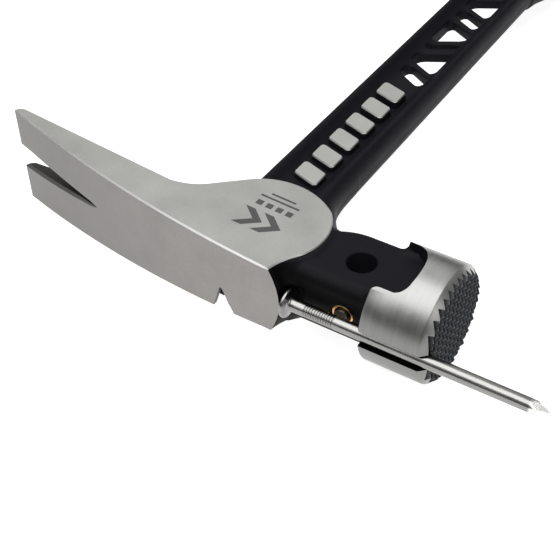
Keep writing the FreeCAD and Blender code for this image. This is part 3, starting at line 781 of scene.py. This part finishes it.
def ground_head():
    item = ground_blank()

    # V notch between the prongs, right through from the outer face to the inner one
    far = -CLAW_REACH - 4.0
    width = NOTCH_TIP_HALF / (CLAW_REACH + NOTCH_ROOT) * (NOTCH_ROOT - far)
    upper = [(NOTCH_ROOT, 0.08), (NOTCH_ROOT - 0.4, 0.2), (far, width)]
    lower = [(x, -z) for x, z in reversed(upper)]
    notch = prism("notch_tool", upper[2:] + lower + upper[:2], -30.0, 15.0, [SHADED_NOTCH_WALL], axis=1)
    combine(item, notch)

    # side nail puller: V through the lip and a wider relief behind it, both open on the under side
    puller = rounded([(-9.4, -14.2), (-5.9, -3.6), (-0.6, -14.2), (-0.6, -20.0), (-9.4, -20.0)], 0.5, 3)
    combine(item, prism("puller_tool", puller, -22.0, -14.9, [SHADED_NOTCH_WALL], axis=1))
    relief = rounded([(-12.0, -20.0), (-12.0, -6.5), (-7.5, -2.4), (-4.6, -2.4), (-0.6, -9.0),
                      (-0.6, -20.0)], 1.0, 4)
    combine(item, prism("relief_tool", relief, -15.1, -9.1, [SHADED_NOTCH_WALL], axis=1))
    bevel_cut_edges(item)

    # room for the nail's head, just behind the coated seat's own wall
    seat = [(along, HEAD_SEAT_RADIUS + 0.15) for along in (HEAD_SEAT_START - 0.2, 26.0)]
    combine(item, closed_turned("seat_tool", 0, (0, NAIL_AXIS_Y, 0), seat, [COAT], segments=64))
    return ready(item, "hammer", ["forged_body"], crease=28)


def bevel_cut_edges(item, width=0.9):
    """Break the edges between ground faces and cut walls: wide along the claw's outer face, else fine."""
    work = bmesh.new()
    work.from_mesh(item.data)
    bmesh.ops.recalc_face_normals(work, faces=work.faces)
    layers = work.edges.layers.float
    weight = layers.get("bevel_weight_edge") or layers.new("bevel_weight_edge")
    names = [slot.name for slot in item.data.materials]
    wall = names.index("notch_wall")
    side = names.index("ground_steel_side")
    for edge in work.edges:
        if len(edge.link_faces) != 2:
            continue
        kinds = {face.material_index for face in edge.link_faces}
        if kinds == {wall, side} and edge.calc_face_angle(0) > math.radians(25):
            outer_face = any(face.normal.y < -0.7 and face.material_index == side
                             for face in edge.link_faces)
            beyond_root = NOTCH_ROOT - (edge.verts[0].co.x - ZERO[0]) / MM
            at_claw = outer_face and beyond_root > -2.0
            edge[weight] = min(1.0, 0.12 + max(0.0, beyond_root) / 14.0) if at_claw else 0.3
    work.to_mesh(item.data)
    work.free()
    step = item.modifiers.new("edges", "BEVEL")
    step.limit_method = "WEIGHT"
    step.width = width * MM
    step.segments = 1
    step.use_clamp_overlap = False
    step.material = SIDE
    bake_modifiers(item)


# ---- the forging: bell

def waffle_heights(at, depth):
    """How far a set of V grooves cuts below the face at a place across them."""
    from_ridge = np.abs((at / WAFFLE_PITCH + 0.5) % 1.0 - 0.5) * WAFFLE_PITCH
    share = np.clip((from_ridge - WAFFLE_LAND / 2) / (WAFFLE_PITCH / 2 - WAFFLE_LAND / 2), 0, 1)
    return depth * share


def waffle_block():
    """A block whose front is rows of blunt teeth: deep grooves between columns, shallower ones across."""
    cells = 14
    half = cells / 2 * WAFFLE_PITCH
    land = WAFFLE_LAND / 2
    stops = []
    for n in range(-cells // 2, cells // 2 + 1):
        stops += [n * WAFFLE_PITCH - land, n * WAFFLE_PITCH + land, (n + 0.5) * WAFFLE_PITCH]
    stops = [v for v in stops if -half <= v <= half]
    count = len(stops)
    y, z = np.meshgrid(stops, stops, indexing="ij")
    inner = np.where(z > y, np.clip((FACE_RADIUS - np.hypot(y, z)) / 1.5, 0, 1), 1.0)
    cut = np.maximum(waffle_heights(y, COLUMN_DEPTH), waffle_heights(z, ROW_DEPTH) * inner)
    front = np.column_stack([(FACE_X - cut).ravel(), y.ravel(), z.ravel()])
    back = front.copy()
    back[:, 0] = 30.0
    faces = []
    size = count * count
    for a in grid_cells(count, count):
        faces += [(a, a + count, a + count + 1), (a, a + count + 1, a + 1)]
        faces.append((size + a, size + a + 1, size + a + count + 1, size + a + count))
    rim = grid_rim(count, count)
    for a, b in zip(rim, rim[1:] + rim[:1]):
        faces.append((a, b, size + b, size + a))
    return closed_mesh("waffle_tool", np.concatenate([front, back]), faces, [SHADED_MILLED])


def recess_outline():
    """Plan of the recess in each side of the bell, round its back, its wide front and its mouth."""
    half = RECESS_HALF
    outline = [(38.0, -half - 3.4), (41.9, -half - 2.4)]
    outline += arc_points((41.9, -half - 2.4), (43.0, -half - 0.72), (45.2, -half), 8)
    outline += [(45.2, -half)]
    outline += arcs((49.2, -half), ((51.6, -9.4), (52.75, -6.9), 9), ((53.2, -1.8), (52.3, 3.3), 12),
                    ((50.6, 6.7), (47.9, 9.7), 10), ((46.7, 10.5), (45.25, half), 5))
    outline += [(45.2, half)] + arc_points((45.2, half), (43.0, half + 0.72), (41.9, half + 2.4), 8)
    return outline + [(41.9, half + 2.4), (38.0, half + 3.4)]


def bell():
    rim = BELL_RADIUS - FACE_RADIUS
    profile = [(BELL_START, 0.001), (BELL_START, BELL_RADIUS - 0.55),
               (BELL_START + 0.18, BELL_RADIUS - 0.16), (BELL_START + 0.55, BELL_RADIUS),
               (BELL_START + 7.0, BELL_RADIUS), (FACE_X - rim - 0.3, BELL_RADIUS),
               (FACE_X - rim, BELL_RADIUS - 0.12), (FACE_X, FACE_RADIUS), (FACE_X + 1.0, FACE_RADIUS)]
    picks = [1, 1] + [0] * 6
    item = closed_turned("bell", 0, (0, 0, 0), profile, [BRUSHED, COAT], picks, segments=180)
    combine(item, waffle_block(), "INTERSECT")
    outline = recess_outline()
    for side in (1, -1):
        low, high = sorted((side * (NECK_HALF_Z - 0.15), side * 24.0))
        combine(item, prism("recess_tool", outline, low, high, [COAT]))
    slot = [(BELL_START - 4.0, -SLOT_HALF), (FACE_X + 3.0, -SLOT_HALF), (FACE_X + 3.0, SLOT_HALF),
            (BELL_START - 4.0, SLOT_HALF)]
    combine(item, prism("slot_tool", slot, -24.0, SLOT_FLOOR, [COAT], axis=1))
    return ready(item, "hammer", ["forged_body"], crease=24)


# ---- pads and marks

def raised_pads():
    """Slanted pads in both troughs: coated sides, ground tops with a broken edge."""
    for side, word in ((1, "upper"), (-1, "under")):
        for n in range(PAD_COUNT):
            y = PAD_FIRST + n * PAD_PITCH
            corners = [(SHANK_X + u * PAD_HALF_X, y + v * PAD_HALF_Y - u * PAD_SLANT)
                       for u, v in ((-1, -1), (1, -1), (1, 1), (-1, 1))]
            outline = np.array(rounded(corners, 1.2, 5))
            count = len(outline)
            rings = []
            for grow, z in ((0.55, 1.0), (0.12, 4.9), (0.0, 5.05), (-0.14, 5.3)):
                rings.append(np.column_stack([inset(outline, -grow), np.full(count, side * z)]))
            faces = bridge(len(rings), count) + [cap[::-1] for cap in end_caps(len(rings), count)]
            picks = [0] * count + [1] * (2 * count) + [0, 1]
            name = "raised_pad_%s_%d" % (word, n + 1)
            item = closed_mesh(name, np.concatenate(rings), faces, [COAT, PAD_FACE], picks)
            ready(item, "hammer", ["forged_body"], crease=20)


def cheek_marks():
    """A generic etched mark on the cheek: two chevrons, a row of squares and two bars."""
    shapes = []
    for shift in (0.0, 6.6):
        x = -8.2 + shift
        shapes.append([(x, -6.4), (x + 3.4, -6.4), (x + 8.4, -2.2), (x + 3.4, 2.0), (x, 2.0),
                       (x + 5.0, -2.2)])
    boxes = [(-6.5 + n * 3.5, 4.2, 2.2, 2.2) for n in range(4)]
    for x, y, wide, high in boxes + [(-7.0, 8.2, 13.6, 0.8), (-4.4, 10.2, 8.6, 0.8)]:
        shapes.append([(x, y), (x + wide, y), (x + wide, y + high), (x, y + high)])
    points = []
    faces = []
    for shape in shapes:
        count = len(shape)
        start = len(points)
        for lift in (-0.4, 0.02):
            points += [(x, y, cheek_top(x) + lift) for x, y in shape]
        faces.append(tuple(range(start + count - 1, start - 1, -1)))
        faces.append(tuple(range(start + count, start + 2 * count)))
        faces += [(start + i, start + (i + 1) % count, start + count + (i + 1) % count, start + count + i)
                  for i in range(count)]
    item = mesh_from("cheek_mark", points, faces, [MARK])
    ready(item, "hammer", ["forged_body"], crease=30)


# ---- nail, magnet and rim

def nail():
    """Flat-headed nail with fine gripping ribs under the head and a four-sided point."""
    rings = [(0.0, 3.9), (0.03, 4.35), (0.16, 4.64), (0.36, 4.74), (0.85, 4.74), (1.08, 4.6), (1.24, 4.15),
             (1.42, 3.4), (1.75, 2.75), (2.2, 2.34), (2.9, 2.15), (3.6, NAIL_RADIUS)]
    low = NAIL_RADIUS - RIB_DEPTH
    for n in range(RIB_COUNT):
        x = RIB_FIRST + n * RIB_PITCH
        rings += [(x, NAIL_RADIUS), (x + 0.2, low), (x + 0.42, low), (x + 0.62, NAIL_RADIUS)]
    rings += [(x, NAIL_RADIUS) for x in np.arange(17.5, POINT_START, 3.5)]
    rings += [(x, NAIL_RADIUS) for x in np.arange(POINT_START, NAIL_LENGTH, 0.3)]
    rings.append((NAIL_LENGTH, NAIL_RADIUS))
    segments = 48
    twist = math.radians(POINT_TWIST)
    points = []
    for x, radius in rings:
        share = max(0.0, (x - POINT_START) / (NAIL_LENGTH - POINT_START))
        flat = NAIL_RADIUS - (NAIL_RADIUS - POINT_TIP_HALF) * share
        for angle in circle_angles(segments):
            limit = flat / max(abs(math.cos(angle - twist)), abs(math.sin(angle - twist)))
            r = min(radius, limit) if x > POINT_START else radius
            points.append((NAIL_START + x, NAIL_AXIS_Y + r * math.cos(angle), r * math.sin(angle)))
    faces = bridge(len(rings), segments) + end_caps(len(rings), segments)
    item = closed_mesh("starter_nail", points, faces, [NAIL])
    return ready(item, "nail", ["nail"], crease=32)


def magnet_and_rim():
    centre = (MAGNET_X, 0.0, 0.0)
    rim = [(-6.9, 2.6), (-11.9, 2.6), (-12.1, 2.75), (-12.2, 3.1), (-12.12, 3.42), (-11.9, 3.56),
           (-6.9, 3.56)]
    item = tube("magnet_rim", 1, centre, rim, [BRASS])
    ready(item, "hammer", ["magnet_sleeve"])
    face = [(-7.0, 2.52), (-12.7, 2.52), (-13.0, 2.46), (-13.15, 2.36), (-13.2, 2.3), (-13.12, 2.0),
            (-13.12, 0.001)]
    item = closed_turned("magnet_disc", 1, centre, face, [MAGNET])
    ready(item, "hammer", ["nail_magnet"])


# ---- grip, cap and eyelet

def station_curve(stations, y):
    """Half width and half thickness at y, smoothly between the stations."""
    table = np.array(stations)
    at = np.clip(y, table[0, 0], table[-1, 0])
    out = []
    for column in (1, 2):
        values = table[:, column]
        slopes = np.gradient(values, table[:, 0])
        i = np.clip(np.searchsorted(table[:, 0], at, side="right") - 1, 0, len(table) - 2)
        span = table[i + 1, 0] - table[i, 0]
        t = (at - table[i, 0]) / span
        h = [(1 + 2 * t) * (1 - t) ** 2, t * (1 - t) ** 2, t * t * (3 - 2 * t), t * t * (t - 1)]
        out.append(h[0] * values[i] + h[1] * span * slopes[i]
                   + h[2] * values[i + 1] + h[3] * span * slopes[i + 1])
    return out


def section_reach(half_x, half_z, angles):
    """How far a rounded-rectangle section reaches from its middle at given angles."""
    reach = np.full_like(angles, max(half_x, half_z) * 1.3)
    for _ in range(24):
        reach = reach - rounded_bar(reach * np.cos(angles), reach * np.sin(angles), half_x, half_z,
                                    SECTION_ROUND * half_z)
    return reach


def ring_at(y, reach, angles):
    """A ring of points round the grip's middle line."""
    return np.column_stack([SHANK_X + reach * np.cos(angles), np.full(len(angles), y),
                            reach * np.sin(angles)])


def inlay_distance(x, y):
    """Distance in plan to the inlay's outline: long, round-ended, narrower toward the butt."""
    length = INLAY_END - INLAY_START
    width = INLAY_HALF - INLAY_TAPER * np.clip((y - INLAY_START) / length, 0, 1)
    middle = (INLAY_START + INLAY_END) / 2
    return rounded_bar(x - SHANK_X, y - middle, width, length / 2, INLAY_CORNER)


def smooth_step(value, low, high):
    t = np.clip((value - low) / (high - low), 0, 1)
    return t * t * (3 - 2 * t)


def skin_depth(x, y, angles):
    """How deep the skin lies under the grip's outline: inlay beds, a cross-cut pattern and three bands."""
    from_inlay = inlay_distance(SHANK_X + x, y)
    bed = smooth_step(-from_inlay, -0.35, 0.25)
    zone = smooth_step(y, 206.0, 212.0) * (1 - smooth_step(y, 338.0, 346.0))
    zone = zone * smooth_step(from_inlay, 1.2, 2.2)
    turn = angles * 14.0
    weave = np.cos((y / 3.0 + turn / 4.0) * math.pi) * np.cos((y / 3.0 - turn / 4.0) * math.pi)
    cut = 0.28 * zone * smooth_step(np.abs(weave), 0.0, 0.35)
    band = 0.35 * sum(np.exp(-((y - c) / 0.55) ** 2) for c in (192.0, 195.0, 198.0))
    return 1.5 * bed + 0.28 * zone - cut + band


def grip_skin():
    """Soft skin with a thin front lip, a fine cross-cut pattern on its sides and beds for the inlays."""
    rows = 620
    around = 240
    front, back = GRIP[0][0], GRIP[-1][0]
    angles = circle_angles(around)
    points = []
    for y in np.linspace(front, back, rows):
        reach = section_reach(*station_curve(GRIP, y), angles)
        x = reach * np.cos(angles)
        z = reach * np.sin(angles)
        lip = 0.9 * math.exp(-((y - front) / 0.5) ** 2)
        shrink = 1 - (skin_depth(x, y, angles) + lip * 0.6) / reach
        points.append(np.column_stack([SHANK_X + x * shrink, np.full(around, y), z * shrink]))
    # the skin turns in behind the cap and comes back along the inside, where the core fills it
    points.append(ring_at(back, section_reach(14.0, 11.0, angles), angles))
    bore = section_reach(12.45, 7.6, angles)
    points.append(ring_at(front + 1.6, bore, angles))
    points.append(ring_at(front, bore, angles))
    faces = bridge(len(points), around)
    last = (len(points) - 1) * around
    faces += [(last + i, last + (i + 1) % around, (i + 1) % around, i) for i in range(around)]
    item = closed_mesh("grip_skin", np.concatenate(points), faces, [RUBBER])
    ready(item, "hammer", ["grip_sleeve"], crease=50)


def inlay_row(y, side, across):
    """Points over one inlay at y: the grip's own curve, and ribs that fade out at the inlay's edges."""
    width = INLAY_HALF - INLAY_TAPER * (y - INLAY_START) / (INLAY_END - INLAY_START)
    ends = min(y - INLAY_START, INLAY_END - y)
    if ends < INLAY_CORNER:
        width -= INLAY_CORNER - math.sqrt(max(0.0, INLAY_CORNER ** 2 - (INLAY_CORNER - ends) ** 2))
    u = np.linspace(-1, 1, across)
    x = max(width - 0.25, 0.3) * u
    half_x, half_z = station_curve(GRIP, y)
    radius = SECTION_ROUND * half_z
    over = np.maximum(np.abs(x) - (half_x - radius), 0)
    z = half_z - radius + np.sqrt(radius ** 2 - over ** 2)
    rib = 0.5 + 0.5 * np.cos((y + np.abs(x) * 0.9) * 2 * math.pi / INLAY_RIB_PITCH)
    edge = smooth_step(1 - np.abs(u), 0.0, 0.22) * smooth_step(ends, 0.0, 1.6)
    height = z - 0.95 + 0.55 * edge * smooth_step(rib, 0.25, 0.8)
    return np.column_stack([SHANK_X + x, np.full(across, y), side * height])


def grip_inlays():
    """Two ribbed inlays lying in the skin's beds."""
    rows = 460
    across = 41
    size = rows * across
    for side, word in ((1, "top"), (-1, "under")):
        places = np.linspace(INLAY_START + 0.2, INLAY_END - 0.2, rows)
        top = np.concatenate([inlay_row(y, side, across) for y in places])
        under = top.copy()
        under[:, 2] -= side * 1.3
        faces = []
        for a in grid_cells(rows, across):
            faces.append((a, a + 1, a + across + 1, a + across))
            faces.append((size + a, size + a + across, size + a + across + 1, size + a + 1))
        rim = grid_rim(rows, across)
        for a, b in zip(rim, rim[1:] + rim[:1]):
            faces.append((a, size + a, size + b, b))
        item = closed_mesh("grip_inlay_" + word, np.concatenate([top, under]), faces, [INLAY_RUBBER])
        ready(item, "hammer", ["grip_inlay_" + word], crease=45)


def butt_cap():
    """Hard end cap with a fine groove round it and a rounded end, and the eyelet through it."""
    around = 120
    angles = circle_angles(around)
    y_values = [358.1, 358.25] + list(np.linspace(358.6, 375.2, 44)) + [375.5, 375.75, 375.9, 376.0, 376.0]
    drops = [0.3, 0.12] + [0.0] * (len(y_values) - 7) + [0.25, 0.6, 1.2, 2.0, 5.0]
    points = []
    for y, drop in zip(y_values, drops):
        drop += 0.35 * math.exp(-((y - 361.0) / 0.35) ** 2)
        points.append(ring_at(y, section_reach(*station_curve(CAP, y), angles) - drop, angles))
    faces = bridge(len(points), around) + end_caps(len(points), around)
    item = closed_mesh("butt_end_cap", np.concatenate(points), faces, [CAP_PLASTIC])
    bore = closed_turned("bore_tool", 2, (SHANK_X, EYELET_Y, 0), [(-30.0, 4.3), (30.0, 4.3)], [CAP_PLASTIC],
                         segments=64)
    combine(item, bore)
    ready(item, "hammer", ["butt_cap"], crease=30)
    wall = [(-18.3, 3.35), (-18.3, 4.0), (-18.0, 4.18), (18.0, 4.18), (18.3, 4.0), (18.3, 3.35), (17.9, 3.2),
            (-17.9, 3.2)]
    item = tube("eyelet_tube", 2, (SHANK_X, EYELET_Y, 0), wall, [EYELET])
    ready(item, "hammer", ["lanyard_eyelet"])


# ---- studio

def pale_floor():
    """A wide pale sheet with a little light of its own, even to the horizon."""
    far = FLOOR_HALF
    corners = [(-far, -far, 0), (far, -far, 0), (far, far, 0), (-far, far, 0)]
    floor = mesh_from("floor", corners, [(0, 1, 2, 3)], [])
    floor.location.z = -float(ZERO[2])
    material = surface("floor_paper", (0.45, 0.45, 0.45), 0.0, 0.8, (300, 300, 300), 20e-6, shade=0.004)
    paper = shader_of(material)
    paper.inputs["Emission Color"].default_value = (1.0, 1.0, 1.0, 1)
    paper.inputs["Emission Strength"].default_value = 0.88
    floor.data.materials.append(material)


def sky():
    """A soft white sky, brighter toward its top."""
    world = bpy.data.worlds.new("studio_world")
    bpy.context.scene.world = world
    world.use_nodes = True
    place = node(world, "ShaderNodeTexCoord")
    split = node(world, "ShaderNodeSeparateXYZ")
    link(world, place.outputs["Generated"], split.inputs["Vector"])
    strength = spread(world, split.outputs["Z"], 0.06, 0.30, 0.05, 0.55)
    strength.node.interpolation_type = "SMOOTHSTEP"
    background = world.node_tree.nodes["Background"]
    link(world, strength, background.inputs["Strength"])
    background.inputs["Color"].default_value = (1.0, 1.0, 1.0, 1)


def lamps():
    """Square lamps, in metres and watts: name, place, what each one points at, size and power."""
    for name, place, target, size, energy in LAMPS:
        lamp = bpy.data.lights.new(name, "AREA")
        lamp.shape = "SQUARE"
        lamp.size = size
        lamp.energy = energy
        item = new_object(name, lamp)
        item.location = place
        item.rotation_euler = (Vector(target) - Vector(place)).to_track_quat("-Z", "Y").to_euler()


def view():
    """The camera, from its place and its yaw, pitch and roll."""
    yaw, pitch, roll = CAMERA_TURN
    forward = Vector((-math.sin(yaw) * math.cos(pitch), math.cos(yaw) * math.cos(pitch), -math.sin(pitch)))
    right = forward.cross(Vector((0, 0, 1))).normalized()
    up = right.cross(forward)
    turned_right = right * math.cos(roll) + up * math.sin(roll)
    turned_up = -right * math.sin(roll) + up * math.cos(roll)
    turn = Matrix((turned_right, turned_up, -forward)).transposed().to_4x4()
    camera = bpy.data.cameras.new("camera")
    camera.sensor_width = 36.0
    camera.lens = CAMERA_FOCAL * camera.sensor_width
    item = new_object("camera", camera)
    item.matrix_world = Matrix.Translation(CAMERA_PLACE) @ turn
    bpy.context.scene.camera = item
    bpy.context.scene.view_settings.view_transform = "Standard"


coated_forging()
ground_head()
bell()
raised_pads()
cheek_marks()
nail()
magnet_and_rim()
grip_skin()
grip_inlays()
butt_cap()
core_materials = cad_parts["grip_core"].data.materials
core_materials.clear()
core_materials.append(HARD_CORE)
pale_floor()
sky()
lamps()
view()
